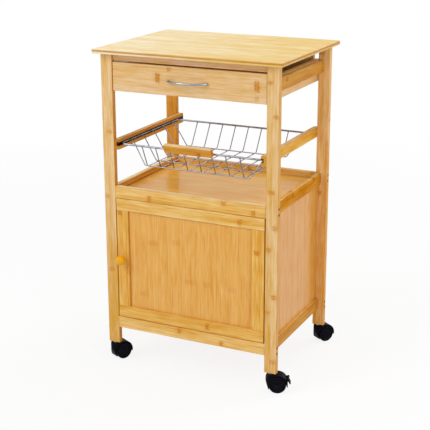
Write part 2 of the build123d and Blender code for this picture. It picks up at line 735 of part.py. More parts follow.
# Casters: a hood that swivels on the stem, two wheels on an axle, a pedal on two of them
cavity = wheel_radius + hood_clear
wheel_inner = web_half + wheel_gap
wheel_outer = wheel_inner + wheel_width
tyre_face = wheel_outer - tyre_inset
nose_reach = hood_radius - caster_trail + nose_wall
nose_centre = hood_half - nose_reach + nose_blunt
hood_end = caster_trail + hood_radius + overcut
brake_radius = hood_radius + brake_stand_off
brake_u = caster_trail + brake_radius * math.cos(math.radians(brake_angle))
brake_z = wheel_radius + brake_radius * math.sin(math.radians(brake_angle))
lug_u = caster_trail + cavity * math.cos(math.radians(brake_angle))
lug_z = wheel_radius + cavity * math.sin(math.radians(brake_angle))
lug_inner = brake_half + brake_lug_gap
for corner, heading in headings.items():
    x_sign = -1 if corner.endswith("left") else 1
    y_sign = -1 if corner.startswith("front") else 1
    swivel = Vector(x_sign * leg_x, y_sign * leg_y, 0)
    trailing = Vector(math.cos(math.radians(heading)), math.sin(math.radians(heading)), 0)
    axle_dir = trailing.cross(Vector(0, 0, 1))
    side_view = Plane(origin=swivel, x_dir=trailing, z_dir=axle_dir)
    axle_centre = swivel + trailing * caster_trail + Vector(0, 0, wheel_radius)
    axle_view = Plane(origin=axle_centre, x_dir=axle_dir, z_dir=-trailing)

    with BuildPart() as hood:
        with BuildSketch(side_view):
            with BuildLine():
                dome = CenterArc((caster_trail, wheel_radius), hood_radius, -10, 100)
                crown = Line(dome @ 1, (0, hood_top))
                nose = TangentArc(crown @ 1, (-nose_reach, nose_level), tangent=crown % 1)
                brow = Line(nose @ 1, (caster_trail - cavity + overcut, brow_level))
                Line(brow @ 1, dome @ 0)
            make_face()
        extrude(amount=hood_half, both=True)
        with BuildSketch(Plane(origin=swivel, x_dir=trailing, z_dir=(0, 0, 1))):
            with Locations((nose_centre, 0)):
                Circle(hood_half)
            with Locations(((nose_centre + hood_end) / 2, 0)):
                Rectangle(hood_end - nose_centre, 2 * hood_half)
        extrude(amount=hood_top + overcut, mode=Mode.INTERSECT)
        upper = hood.edges().filter_by(lambda edge: edge.center().Z > wheel_radius)
        level = upper.filter_by(Axis((0, 0, 0), axle_dir))
        upright = upper.filter_by(Axis.Z)
        fillet([edge for edge in upper if edge not in level and edge not in upright], radius=hood_edge)
        if corner in braked:
            for sense in (-1, 1):
                with BuildSketch(side_view.offset(sense * lug_inner)):
                    with Locations((brake_u, brake_z), (lug_u, lug_z)):
                        Circle(brake_hub + brake_lug_wall)
                    make_hull()
                extrude(amount=sense * brake_lug)
        for sense in (-1, 1):
            with BuildSketch(side_view.offset(sense * web_half)):
                with Locations((caster_trail, wheel_radius)):
                    Circle(cavity)
            extrude(amount=sense * hood_half, mode=Mode.SUBTRACT)
        with BuildSketch(side_view):
            with Locations((caster_trail, wheel_radius)):
                Circle(axle_radius + run_gap)
            if corner in braked:
                with Locations((brake_u, brake_z)):
                    Circle(brake_pin + run_gap)
        extrude(amount=hood_half + overcut, both=True, mode=Mode.SUBTRACT)
        with BuildSketch(Plane.XY.offset(hood_top)):
            with Locations((swivel.X, swivel.Y)):
                Circle(stem_radius + run_gap)
        extrude(amount=-stem_run, mode=Mode.SUBTRACT)
    save(hood, f"{corner}_caster_hood")

    with BuildPart() as axle:
        with BuildSketch(side_view):
            with Locations((caster_trail, wheel_radius)):
                Circle(axle_radius)
        extrude(amount=axle_half, both=True)
    save(axle, f"{corner}_caster_axle")

    with BuildPart() as wheels:
        for sense in (-1, 1):
            with BuildSketch(axle_view):
                with BuildLine():
                    Polyline(
                        (sense * wheel_inner, axle_radius + press_gap),
                        (sense * wheel_inner, wheel_radius - wheel_edge),
                        (sense * (wheel_inner + wheel_edge), wheel_radius),
                        (sense * (tyre_face - tyre_edge), wheel_radius),
                        (sense * tyre_face, wheel_radius - tyre_edge),
                        (sense * tyre_face, wheel_radius - tyre_band),
                        (sense * (tyre_face - ring_depth), wheel_radius - tyre_band - ring_depth),
                        (sense * (tyre_face - ring_depth), wheel_radius - ring_end),
                        (sense * (wheel_outer - disc_inset), wheel_radius - disc_start),
                        (sense * wheel_outer, wheel_radius / 4),
                        (sense * wheel_outer, 0),
                        (sense * (axle_half + press_gap), 0),
                        (sense * (axle_half + press_gap), axle_radius + press_gap),
                        close=True,
                    )
                make_face()
            revolve(axis=Axis(axle_centre, axle_dir))
    save(wheels, f"{corner}_caster_wheels")

    if corner in braked:
        with BuildPart() as pedal:
            with BuildSketch(side_view):
                with Locations((brake_u, brake_z)):
                    Circle(brake_hub)
                with BuildLine():
                    slope = math.radians(-pedal_slope)
                    reach_u = pedal_length * math.cos(slope)
                    reach_z = pedal_length * math.sin(slope)
                    edge_u = pedal_thickness / 2 * math.sin(slope)
                    edge_z = pedal_thickness / 2 * math.cos(slope)
                    Polyline(
                        (brake_u - edge_u, brake_z + edge_z),
                        (brake_u + edge_u, brake_z - edge_z),
                        (brake_u + reach_u + edge_u, brake_z + reach_z - edge_z),
                        (brake_u + reach_u - edge_u, brake_z + reach_z + edge_z),
                        close=True,
                    )
                make_face()
            extrude(amount=brake_half, both=True)
            with BuildSketch(side_view):
                with Locations((brake_u, brake_z)):
                    Circle(brake_pin)
            extrude(amount=lug_inner + brake_lug - brake_lug_gap, both=True)
        save(pedal, f"{corner}_brake_pedal")
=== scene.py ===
"""Studio scene of a bamboo kitchen trolley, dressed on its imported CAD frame."""

from __future__ import annotations

import logging
import math
from dataclasses import dataclass
from enum import IntEnum
from functools import cached_property
from typing import Mapping, Sequence, Union

import bmesh
import bpy
from mathutils import Matrix, Vector


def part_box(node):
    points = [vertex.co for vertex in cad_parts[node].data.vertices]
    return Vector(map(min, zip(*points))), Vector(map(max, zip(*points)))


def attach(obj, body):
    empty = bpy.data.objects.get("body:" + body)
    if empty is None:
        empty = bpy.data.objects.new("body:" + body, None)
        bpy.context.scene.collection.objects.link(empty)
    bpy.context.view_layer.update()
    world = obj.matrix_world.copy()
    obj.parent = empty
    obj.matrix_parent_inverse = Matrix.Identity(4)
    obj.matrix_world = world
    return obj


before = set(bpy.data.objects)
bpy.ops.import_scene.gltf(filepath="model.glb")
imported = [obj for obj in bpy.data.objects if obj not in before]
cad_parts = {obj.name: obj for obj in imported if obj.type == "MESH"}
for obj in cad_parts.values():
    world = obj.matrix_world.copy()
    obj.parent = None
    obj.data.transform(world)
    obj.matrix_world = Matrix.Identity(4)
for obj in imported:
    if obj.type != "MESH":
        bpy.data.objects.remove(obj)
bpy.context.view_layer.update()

log = logging.getLogger("trolley")

RGB = tuple[float, float, float]
Point = tuple[float, float, float]
Span = tuple[float, float]
WHITE = (1.0, 1.0, 1.0, 1.0)
BEYOND = 1.0
IMAGE_SIZE = 430.0
SENSOR_WIDTH = 36.0


class Axis(IntEnum):
    """Axes of the trolley, by the index of their coordinate."""

    X = 0
    Y = 1
    Z = 2


class MixSocket(IntEnum):
    """Sockets of a Mix node between two colours."""

    SHARE = 0
    RESULT = 2
    FIRST = 6
    SECOND = 7


class Signal:
    """Output of a shader node, with arithmetic that adds further nodes."""

    def __init__(self, graph: Graph, socket: bpy.types.NodeSocket) -> None:
        """Keeps the socket with the graph it belongs to."""
        self.graph = graph
        self.socket = socket

    def _math(self, operation: str, first: Value, second: Value = 0.0) -> Signal:
        """Adds a Math node."""
        return self.graph.add("ShaderNodeMath", {0: first, 1: second}, operation=operation)

    def __add__(self, other: Value) -> Signal:
        """Returns the sum."""
        return self._math("ADD", self, other)

    def __radd__(self, other: Value) -> Signal:
        """Returns the sum with a number in front."""
        return self._math("ADD", other, self)

    def __sub__(self, other: Value) -> Signal:
        """Returns the difference."""
        return self._math("SUBTRACT", self, other)

    def __rsub__(self, other: Value) -> Signal:
        """Returns the difference with a number in front."""
        return self._math("SUBTRACT", other, self)

    def __mul__(self, other: Value) -> Signal:
        """Returns the product."""
        return self._math("MULTIPLY", self, other)

    def __rmul__(self, other: Value) -> Signal:
        """Returns the product with a number in front."""
        return self._math("MULTIPLY", other, self)

    def __truediv__(self, other: Value) -> Signal:
        """Returns the quotient."""
        return self._math("DIVIDE", self, other)

    def __abs__(self) -> Signal:
        """Returns the signal without its sign."""
        return self._math("ABSOLUTE", self)

    def __gt__(self, other: Value) -> Signal:
        """Returns 1 where the signal is the greater and 0 elsewhere."""
        return self._math("GREATER_THAN", self, other)

    def floor(self) -> Signal:
        """Returns the whole number below the signal."""
        return self._math("FLOOR", self)

    def fract(self) -> Signal:
        """Returns the part after the decimal point."""
        return self._math("FRACT", self)

    def at_most(self, other: Value) -> Signal:
        """Returns the lower of two values."""
        return self._math("MINIMUM", self, other)

    def at_least(self, other: Value) -> Signal:
        """Returns the higher of two values."""
        return self._math("MAXIMUM", self, other)

    def held(self) -> Signal:
        """Returns the signal held between 0 and 1."""
        return self.at_least(0.0).at_most(1.0)

    def centred(self) -> Signal:
        """Returns a signal from 0 to 1 as one about 0."""
        return self - 0.5

    def ramp(self, low: float, high: float, start: float = 0.0, end: float = 1.0) -> Signal:
        """Maps a stretch of the signal smoothly to another stretch.

        Args:
            low: Value at which the result is start.
            high: Value at which the result is end.
            start: Result at and below low.
            end: Result at and above high.

        Returns:
            The mapped signal.
        """
        return self.graph.add(
            "ShaderNodeMapRange",
            {"Value": self, "From Min": low, "From Max": high, "To Min": start, "To Max": end},
            interpolation_type="SMOOTHSTEP",
        )


Value = Union[Signal, float, Sequence[float]]


class Graph:
    """Node tree of a material or a world, filled through a single generic method."""

    def __init__(self, owner: Union[bpy.types.Material, bpy.types.World], output: str) -> None:
        """Empties the owner's node tree and gives it an output.

        Args:
            owner: Material or world that the tree belongs to.
            output: Type name of its output node.
        """
        owner.use_nodes = True
        self.owner = owner
        self.tree = owner.node_tree
        self.tree.nodes.clear()
        self.output = self.tree.nodes.new(output)

    @classmethod
    def of_material(cls, name: str) -> Graph:
        """Returns the graph of a new material."""
        return cls(bpy.data.materials.new(name), "ShaderNodeOutputMaterial")

    def add(
        self,
        kind: str,
        inputs: Mapping[Union[str, int], Value] | None = None,
        output: Union[str, int] = 0,
        **settings: object,
    ) -> Signal:
        """Adds a node and feeds it.

        Args:
            kind: Type name of the node.
            inputs: Values or signals by socket name or index.
            output: Socket that is returned.
            settings: Properties of the node, set first.

        Returns:
            The chosen output.
        """
        node = self.tree.nodes.new(kind)
        for key, setting in settings.items():
            setattr(node, key, setting)
        for key, value in (inputs or {}).items():
            if isinstance(value, Signal):
                self.tree.links.new(value.socket, node.inputs[key])
            else:
                node.inputs[key].default_value = value
        return Signal(self, node.outputs[output])

    def _split(self, kind: str) -> tuple[Signal, Signal, Signal]:
        """Adds a texture coordinate.

        Args:
            kind: Name of the coordinate.

        Returns:
            Its three parts.
        """
        source = self.add("ShaderNodeTexCoord", output=kind)
        x, y, z = (self.add("ShaderNodeSeparateXYZ", {0: source}, output=axis.value) for axis in Axis)
        return x, y, z

    @cached_property
    def position(self) -> tuple[Signal, Signal, Signal]:
        """The three object coordinates, in metres."""
        return self._split("Object")

    @cached_property
    def normal(self) -> tuple[Signal, Signal, Signal]:
        """The parts of the surface normal along the object's axes."""
        return self._split("Normal")

    def noise(self, x: Value, y: Value, z: Value, detail: float = 2.0, roughness: float = 0.5) -> Signal:
        """Adds smooth noise.

        Args:
            x: First coordinate of the point, in repeats.
            y: Second coordinate.
            z: Third coordinate.
            detail: Number of finer copies in it.
            roughness: Strength of the finer copies.

        Returns:
            A value from 0 to 1.
        """
        point = self.add("ShaderNodeCombineXYZ", {0: x, 1: y, 2: z})
        inputs = {"Vector": point, "Scale": 1.0, "Detail": detail, "Roughness": roughness}
        return self.add("ShaderNodeTexNoise", inputs)

    def speckle(self, scale: float, detail: float = 2.0, roughness: float = 0.5) -> Signal:
        """Returns noise that is equally fine along every axis."""
        x, y, z = self.position
        return self.noise(x * scale, y * scale, z * scale, detail, roughness)

    def chance(self, number: Signal) -> Signal:
        """Returns a random value from 0 to 1 that belongs to a number."""
        return self.add("ShaderNodeTexWhiteNoise", {"W": number}, noise_dimensions="1D")

    def mix(self, share: Value, first: Union[Signal, RGB], second: Union[Signal, RGB]) -> Signal:
        """Returns a colour between two colours.

        Args:
            share: How far the result is on the way to the second colour.
            first: Colour at a share of 0.
            second: Colour at a share of 1.

        Returns:
            The mixed colour.
        """
        inputs: dict[Union[str, int], Value] = {MixSocket.SHARE.value: share}
        for socket, colour in ((MixSocket.FIRST, first), (MixSocket.SECOND, second)):
            inputs[socket.value] = colour if isinstance(colour, Signal) else (*colour, 1.0)
        return self.add("ShaderNodeMix", inputs, output=MixSocket.RESULT.value, data_type="RGBA")

    def bump(self, height: Signal, strength: float, distance: float) -> Signal:
        """Returns a normal that follows a height."""
        return self.add("ShaderNodeBump", {"Height": height, "Strength": strength, "Distance": distance})

    def edge_gap(self, low: Sequence[float], high: Sequence[float]) -> Signal:
        """Returns how far a point on a box-shaped board is from the board's nearest edge.

        Args:
            low: Lowest corner of the board.
            high: Highest corner of the board.

        Returns:
            The second smallest of the distances to the three pairs of faces.
        """
        first, second, third = (
            (place - start).at_most(end - place) for place, start, end in zip(self.position, low, high)
        )
        return first.at_most(second).at_least(first.at_least(second).at_most(third))

    def inside(self, low: Sequence[float], high: Sequence[float]) -> Signal:
        """Returns 1 inside a box and 0 outside it.

        Args:
            low: Lowest corner of the box.
            high: Highest corner of the box.

        Returns:
            The mask.
        """
        first, second, third = (
            (place > start) * (1.0 - (place > end)) for place, start, end in zip(self.position, low, high)
        )
        return first * second * third

    def in_sight(self) -> Signal:
        """Tells what is looked at from what only gives light.

        Returns:
            1 for what is seen, also in a reflection or through something clear, and 0 for light.
        """
        rays = ("Is Camera Ray", "Is Glossy Ray", "Is Transmission Ray")
        camera, glossy, clear = (self.add("ShaderNodeLightPath", output=ray) for ray in rays)
        return camera.at_least(glossy).at_least(clear)

    def close(self, shader: Signal) -> None:
        """Links a shader to the output."""
        self.tree.links.new(shader.socket, self.output.inputs["Surface"])

    def surface(self, inputs: Mapping[Union[str, int], Value]) -> bpy.types.Material:
        """Closes a material with a principled surface.

        Args:
            inputs: Values or signals by socket name.

        Returns:
            The finished material.
        """
        self.close(self.add("ShaderNodeBsdfPrincipled", inputs))
        return self.owner


@dataclass(frozen=True)
class Knot:
    """Orange node mark of a bamboo strip, in metres along and across the grain."""

    along: float
    across: float
    width: float = 0.0155
    reach: float = 0.0048
    strength: float = 1.0
    dark: float = 1.0


@dataclass(frozen=True)
class NodeMark:
    """Make-up of a node mark: lengths as shares of its reach, lines in metres, and strengths."""

    zone: Span = (0.30, 1.45)
    halo: float = 3.8
    border: float = 0.70
    border_line: Span = (0.0002, 0.0022)
    core_line: Span = (0.0002, 0.0016)
    zone_share: float = 0.84
    halo_share: float = 0.28
    border_share: float = 0.74
    core_share: float = 0.30

    def draw(self, away: Signal, patch: Signal, broken: Signal, reach: float) -> tuple[Signal, Signal]:
        """Returns the two parts of one mark.

        Args:
            away: Distance from the mark's middle along the grain.
            patch: Cloud that makes the stain uneven.
            broken: Grain that breaks up the dark lines.
            reach: Half of the mark's length.

        Returns:
            The stain with its halo, and the dark lines at its borders and middle.
        """
        zone = away.ramp(reach * self.zone[0], reach * self.zone[1], 1.0, 0.0)
        halo = away.ramp(0.0, reach * self.halo, 1.0, 0.0)
        border = abs(away - reach * self.border).ramp(*self.border_line, 1.0, 0.0)
        core = away.ramp(*self.core_line, 1.0, 0.0)
        stain = self.zone_share * zone * patch + self.halo_share * halo
        return stain, broken * (self.border_share * border + self.core_share * core)


@dataclass(frozen=True)
class Shade:
    """Box inside which a board is darker: a ply of its edge, which is the board's own colour, or painted
    shade in a joint, under a gap or in a groove.
    """

    low: Point
    high: Point
    share: float
    colour: RGB | None = None


def band(axis: Axis, span: Span, share: float, colour: RGB | None = None) -> Shade:
    """Returns a shade between two places on one axis, right across a board.

    Args:
        axis: Axis that the places are on.
        span: The lower and the higher place.
        share: Strength of the shade.
        colour: Its colour, where that isn't the board's own mark colour.

    Returns:
        The shade.
    """
    low = tuple(span[0] if way is axis else -BEYOND for way in Axis)
    high = tuple(span[1] if way is axis else BEYOND for way in Axis)
    return Shade(low, high, share, colour)


@dataclass(frozen=True)
class Palette:
    """Colours and gloss of one kind of lacquered bamboo."""

    pale: RGB
    deep: RGB
    stain: RGB
    mark: RGB
    roughness: float = 0.42
    specular: float = 0.18
    coat: float = 0.03


def around(colour: RGB, spread: float, **gloss: float) -> Palette:
    """Returns a palette about a middle colour.

    Args:
        colour: Middle colour.
        spread: How far the pale and deep tones stand from it.
        gloss: Roughness, specular and coat where they aren't the usual ones.

    Returns:
        The palette, whose tones differ most in yellowness, as bamboo's do.
    """
    palest = 0.95
    lean = (0.28, 0.72, 2.00)
    burn = (0.82, 0.52, 0.11)
    char = (0.56, 0.27, 0.05)
    pale = tuple(min(palest, part * (1.0 + spread * share)) for part, share in zip(colour, lean))
    deep = tuple(part * (1.0 - spread * share) for part, share in zip(colour, lean))
    stain = tuple(part * share for part, share in zip(colour, burn))
    mark = tuple(part * share for part, share in zip(colour, char))
    return Palette(pale, deep, stain, mark, **gloss)


# Tones of bamboo, those of the solid boards first and then those of the thin panels.
LINEN = around((0.880, 0.695, 0.372), 0.30, roughness=0.48, specular=0.14, coat=0.0)
BISQUE = around((0.785, 0.520, 0.250), 0.28)
FRONT = around((0.785, 0.510, 0.215), 0.38, specular=0.12, coat=0.0)
HONEY = around((0.800, 0.475, 0.126), 0.46)
GOLD = around((0.775, 0.420, 0.080), 0.46)
STRAW = around((0.775, 0.420, 0.070), 0.46, specular=0.06, coat=0.0)
# FLANK serves only as painted shading on the front-right leg's outer side.
FLANK = around((0.770, 0.450, 0.135), 0.40, specular=0.06, coat=0.0)
TAWNY = around((0.860, 0.500, 0.175), 0.45, specular=0.12, coat=0.0)
# RUSSET is a shaded copy of the bamboo: painted shade for boards and faces that lie in shade, such as the
# back-left leg and the left-hand rails.
RUSSET = around((0.660, 0.300, 0.040), 0.40, specular=0.06, coat=0.0)
SIENNA = around((0.595, 0.238, 0.022), 0.50, specular=0.0, coat=0.0)
UMBER = around((0.585, 0.255, 0.027), 0.50, specular=0.06, coat=0.0)
CLAY = around((0.740, 0.450, 0.225), 0.30, specular=0.12, coat=0.0)
AMBER = around((0.790, 0.415, 0.098), 0.26, roughness=0.36)
BLUSH = around((0.710, 0.332, 0.066), 0.36, roughness=0.20, specular=0.30, coat=0.0)
TRAY = around((0.950, 0.515, 0.094), 0.32, roughness=0.24, specular=0.17, coat=0.0)

# The painted shade of gaps and grooves, also put on the basket rim where it runs in a groove.
PAINTED_SHADE: RGB = (0.030, 0.018, 0.012)


@dataclass(frozen=True)
class Layer:
    """Noise drawn out along the grain: its repeats in a metre, its fineness and its weight."""

    along: float
    across: float
    detail: float = 2.0
    roughness: float = 0.5
    weight: float = 1.0


# Layers that every board has. The sway's weight is in metres.
SWAY = Layer(5.0, 14.0, detail=1.0, weight=0.0022)
DRIFT = Layer(2.6, 16.0, weight=0.50)
FLOW = Layer(5.0, 150.0, roughness=0.6)
CLOUD = Layer(17.0, 48.0, weight=0.90)
STREAK = Layer(24.0, 430.0, detail=3.0, roughness=0.6, weight=1.60)
THREAD = Layer(22.0, 1500.0, roughness=0.6, weight=0.55)
VEIN = Layer(9.0, 330.0, roughness=0.55, weight=0.55)
PORES = Layer(300.0, 900.0, detail=1.0, weight=0.35)
RAGGED = Layer(130.0, 260.0, detail=3.0, roughness=0.6)
PATCH = Layer(330.0, 330.0)


@dataclass(frozen=True)
class Grain:
    """Place in a board by its grain: along it, across its strips and through its depth."""

    graph: Graph
    along: Signal
    across: Signal
    depth: Signal

    def noise(self, layer: Layer, offset: Value = 0.0, sway: Value = 0.0) -> Signal:
        """Returns a layer of noise.

        Args:
            layer: The layer.
            offset: Its shift along the grain, in repeats.
            sway: Its shift across the grain, in metres.

        Returns:
            The noise, from 0 to 1.
        """
        return self.graph.noise(
            self.along * layer.along + offset,
            (self.across + sway) * layer.across,
            self.depth * layer.across,
            layer.detail,
            layer.roughness,
        )

    def flat_noise(self, layer: Layer, seed: float) -> Signal:
        """Returns a layer of noise that is the same at every depth."""
        along, across = self.along * layer.along, self.across * layer.across
        return self.graph.noise(along, across, seed, layer.detail, layer.roughness)


@dataclass(frozen=True)
class Fibres:
    """Layers of noise in one board, from the broadest to the finest."""

    tone: Signal
    drift: Signal
    cloud: Signal
    flow: Signal
    vein: Signal
    streak: Signal
    thread: Signal


@dataclass(frozen=True)
class Lacquer:
    """How the layers, marks and edges of a board show in its colour, gloss and relief."""

    tone_weight: float = 0.35
    tone_shift: float = 9.0
    vein_shift: float = 3.1
    vein: Span = (0.55, 0.74)
    # How far a face must turn to an axis before it takes the painted shading.
    turn: Span = (0.60, 0.90)
    seam_line: Span = (0.0008, 0.0001)
    end_turn: Span = (0.75, 0.95)
    end_share: float = 0.20
    pores: Span = (0.45, 0.62)
    patch: Span = (0.30, 0.66)
    patch_least: float = 0.35
    breaks: Span = (0.36, 0.62)
    breaks_least: float = 0.10
    ragged_end: float = 0.010
    ragged_side: float = 0.012
    knot_side: Span = (0.22, 0.64)
    start_salt: float = 17.0
    start_spread: float = 5.0
    strip_salt: float = 3.7
    cell_salt: float = 11.3
    chance_reach: float = 0.0040
    most_stain: float = 0.95
    most_line: float = 0.85
    shade_least: float = 0.55
    shade_flow: float = 0.90
    edge: Span = (0.0004, 0.0019)
    edge_drift: Span = (0.38, 0.62)
    edge_streak: Span = (0.40, 0.70)
    edge_streak_share: float = 0.4
    edge_share: float = 0.50
    streak_roughness: float = 0.12
    stain_roughness: float = 0.06
    edge_roughness: float = 0.16
    coat_roughness: float = 0.20
    fibre_relief: float = 0.5
    seam_relief: float = 0.8
    pore_relief: float = 0.4
    relief: Span = (0.18, 0.0004)


LACQUER = Lacquer()
NODE_MARK = NodeMark()


@dataclass(frozen=True)
class Bamboo:
    """Laminated bamboo board: strips side by side, fibres, node marks and lacquer, with painted shade along
    its edges and, where given, a painted sheen, painted shading on turned faces and shade boxes.
    """

    node: str
    palette: Palette
    grain: Axis
    across: Axis
    seed: float
    strip: float = 0.0145
    phase: float = 0.0
    period: float = 0.34
    share: float = 0.25
    fibre: float = 1.0
    calm: float = 1.0
    seam: float = 0.24
    knots: tuple[Knot, ...] = ()
    shades: tuple[Shade, ...] = ()
    # Painted sheen: how much deeper the tone is at the low and the high end of the grain.
    painted_sheen: Span | None = None
    # Painted shading: an axis, and the palette that faces turned to it take.
    turned: tuple[Axis, Palette] | None = None

    def build(self) -> bpy.types.Material:
        """Makes the board's material.

        Returns:
            A material in object coordinates, so the grain stays with the board.
        """
        graph = Graph.of_material(f"bamboo_{self.node}")
        grain = self._grain(graph)
        lane = grain.across / self.strip + self.phase
        strip = lane.floor() + self.seed
        fibres = self._fibres(grain, graph.chance(strip))
        colour = self._wood(grain, fibres)
        seam_gap = abs(lane.fract().centred()) * self.strip
        seam = seam_gap.ramp(*(self.strip / 2 - line for line in LACQUER.seam_line))
        colour = graph.mix(seam * self.seam, colour, self.palette.mark)
        vein = fibres.vein.ramp(*LACQUER.vein) * VEIN.weight * self.fibre
        colour = graph.mix(vein, colour, self.palette.stain)
        stain, line = self._nodes(grain, strip, fibres.thread)
        colour = graph.mix(stain, colour, self.palette.stain)
        colour = graph.mix(line, colour, self.palette.mark)
        end_grain = abs(graph.normal[self.grain]).ramp(*LACQUER.end_turn)
        pores = grain.noise(PORES).ramp(*LACQUER.pores)
        end_share = end_grain * (LACQUER.end_share + PORES.weight * pores)
        colour = graph.mix(end_share, colour, self.palette.mark)
        # The worktop's ply is its own colour; the other boxes are painted shade.
        for shade in self.shades:
            strength = shade.share * (LACQUER.shade_least + LACQUER.shade_flow * fibres.flow)
            inside = graph.inside(shade.low, shade.high)
            colour = graph.mix(inside * strength.at_most(1.0), colour, shade.colour or self.palette.mark)
        # Painted shade along every edge, in the stain colour.
        edge = self._painted_edge_shade(graph, fibres)
        colour = graph.mix(edge * LACQUER.edge_share, colour, self.palette.stain)
        roughness = self.palette.roughness + LACQUER.streak_roughness * fibres.streak.centred()
        relief = LACQUER.fibre_relief * (fibres.streak + fibres.thread) - LACQUER.seam_relief * seam
        return graph.surface(
            {
                "Base Color": colour,
                "Roughness": roughness + LACQUER.stain_roughness * stain + LACQUER.edge_roughness * edge,
                "Specular IOR Level": self.palette.specular,
                "Coat Weight": self.palette.coat,
                "Coat Roughness": LACQUER.coat_roughness,
                "Normal": graph.bump(relief - LACQUER.pore_relief * pores * end_grain, *LACQUER.relief),
            }
        )

    def _grain(self, graph: Graph) -> Grain:
        """Turns object coordinates into the board's own.

        Args:
            graph: Material that is being made.

        Returns:
            The place in the board by its grain.
        """
        (through,) = (axis for axis in Axis if axis not in (self.grain, self.across))
        place = graph.position
        return Grain(graph, place[self.grain], place[self.across], place[through])

    def _fibres(self, grain: Grain, tone: Signal) -> Fibres:
        """Returns the board's layers of noise.

        Args:
            grain: Place in the board.
            tone: Chance tone of the strip.

        Returns:
            The layers, the finer ones swaying with the grain.
        """
        sway = grain.noise(SWAY, self.seed).centred() * SWAY.weight
        return Fibres(
            tone=tone,
            drift=grain.noise(DRIFT, self.seed),
            cloud=grain.noise(CLOUD, self.seed),
            flow=grain.noise(FLOW, tone * LACQUER.tone_shift, sway),
            vein=grain.noise(VEIN, self.seed * LACQUER.vein_shift, sway),
            streak=grain.noise(STREAK, self.seed, sway),
            thread=grain.noise(THREAD, self.seed),
        )

    def _wood(self, grain: Grain, fibres: Fibres) -> Signal:
        """Returns the colour of the bare strips.

        Args:
            grain: Place in the board.
            fibres: The board's layers of noise.

        Returns:
            A colour from pale to deep, with painted shading on faces that are turned to a stated axis, which
            take another palette.
        """
        graph = grain.graph
        broad = LACQUER.tone_weight * fibres.tone.centred()
        for layer, noise in ((DRIFT, fibres.drift), (FLOW, fibres.flow), (CLOUD, fibres.cloud)):
            broad = broad + layer.weight * noise.centred()
        fine = STREAK.weight * fibres.streak.centred() + THREAD.weight * fibres.thread.centred()
        blend = self.calm * broad + self.fibre * fine
        # Painted sheen: the tone changes along the grain, paler where the board catches more sheen.
        if self.painted_sheen is not None:
            low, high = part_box(self.node)
            blend = blend + grain.along.ramp(low[self.grain], high[self.grain], *self.painted_sheen)
        tint = (blend + 0.5).held()
        colour = graph.mix(tint, self.palette.pale, self.palette.deep)
        # Painted shading: faces turned to the stated axis take another palette, paler on tops that catch the
        # light and deeper on sides that lie in shade.
        if self.turned is None:
            return colour
        axis, other = self.turned
        facing = abs(graph.normal[axis]).ramp(*LACQUER.turn)
        return graph.mix(facing, colour, graph.mix(tint, other.pale, other.deep))

    def _painted_edge_shade(self, graph: Graph, fibres: Fibres) -> Signal:
        """Adds the deeper line along the board's edges, which is painted shade on the eased arrises.

        Args:
            graph: Material that is being made.
            fibres: The board's layers of noise, which make the line uneven.

        Returns:
            The strength of the line.
        """
        near = graph.edge_gap(*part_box(self.node)).ramp(*LACQUER.edge, 1.0, 0.0)
        drift = fibres.drift.ramp(*LACQUER.edge_drift) * (1.0 - LACQUER.edge_streak_share)
        return near * (drift + fibres.streak.ramp(*LACQUER.edge_streak) * LACQUER.edge_streak_share)

    def _nodes(self, grain: Grain, strip: Signal, thread: Signal) -> tuple[Signal, Signal]:
        """Adds the node marks, the stated ones and those that chance gives to strips.

        Args:
            grain: Place in the board.
            strip: Number of the strip.
            thread: Finest fibres, which break up the dark lines.

        Returns:
            The strength of the orange stain and that of the dark lines in it.
        """
        graph, along = grain.graph, grain.along
        ragged = grain.flat_noise(RAGGED, self.seed).centred()
        ragged_end = ragged * LACQUER.ragged_end
        patch = grain.flat_noise(PATCH, self.seed).ramp(*LACQUER.patch, LACQUER.patch_least, 1.0)
        broken = thread.ramp(*LACQUER.breaks, LACQUER.breaks_least, 1.0) * patch
        cell = along / self.period + graph.chance(strip + LACQUER.start_salt) * LACQUER.start_spread
        gap = abs(cell.fract().centred() * self.period + ragged_end)
        draw = graph.chance(strip * LACQUER.strip_salt + cell.floor() * LACQUER.cell_salt)
        luck = draw.ramp(1.0 - self.share, 1.0)
        stain, line = (luck * part for part in NODE_MARK.draw(gap, patch, broken, LACQUER.chance_reach))
        for knot in self.knots:
            away = abs(along - knot.along + ragged_end)
            aside = abs(grain.across - knot.across) + ragged * LACQUER.ragged_side
            core, rim = (knot.width * share for share in LACQUER.knot_side)
            strength = aside.ramp(core, rim, knot.strength, 0.0)
            zone, border = NODE_MARK.draw(away, patch, broken, knot.reach)
            stain = stain + strength * zone
            line = line + strength * border * knot.dark
        return stain.at_most(LACQUER.most_stain), line.at_most(LACQUER.most_line)


@dataclass(frozen=True)
class TurnedWood:
    """Glossy turned knob with fine growth rings about its axis."""

    name: str
    pale: RGB
    deep: RGB
    ring_scale: float = 260.0
    axis_scale: float = 40.0
    cloud_scale: float = 60.0
    tones: Span = (0.3, 0.7)
    ring_share: float = 0.6
    roughness: float = 0.22
    ring_roughness: float = 0.10
    specular: float = 0.15
    coat: float = 0.12
    coat_roughness: float = 0.08
    relief: Span = (0.05, 0.0003)

    def build(self) -> bpy.types.Material:
        """Makes the knob's material.

        Returns:
            A material in object coordinates.
        """
        graph = Graph.of_material(self.name)
        x, y, z = graph.position
        rings = (x * self.ring_scale, y * self.axis_scale, z * self.ring_scale)
        ring = graph.noise(*rings, detail=3.0, roughness=0.6)
        cloud = graph.speckle(self.cloud_scale)
        blend = self.ring_share * ring.ramp(*self.tones) + (1.0 - self.ring_share) * cloud.ramp(*self.tones)
        return graph.surface(
            {
                "Base Color": graph.mix(blend, self.pale, self.deep),
                "Roughness": self.roughness + self.ring_roughness * ring,
                "Specular IOR Level": self.specular,
                "Coat Weight": self.coat,
                "Coat Roughness": self.coat_roughness,
                "Normal": graph.bump(ring, *self.relief),
            }
        )


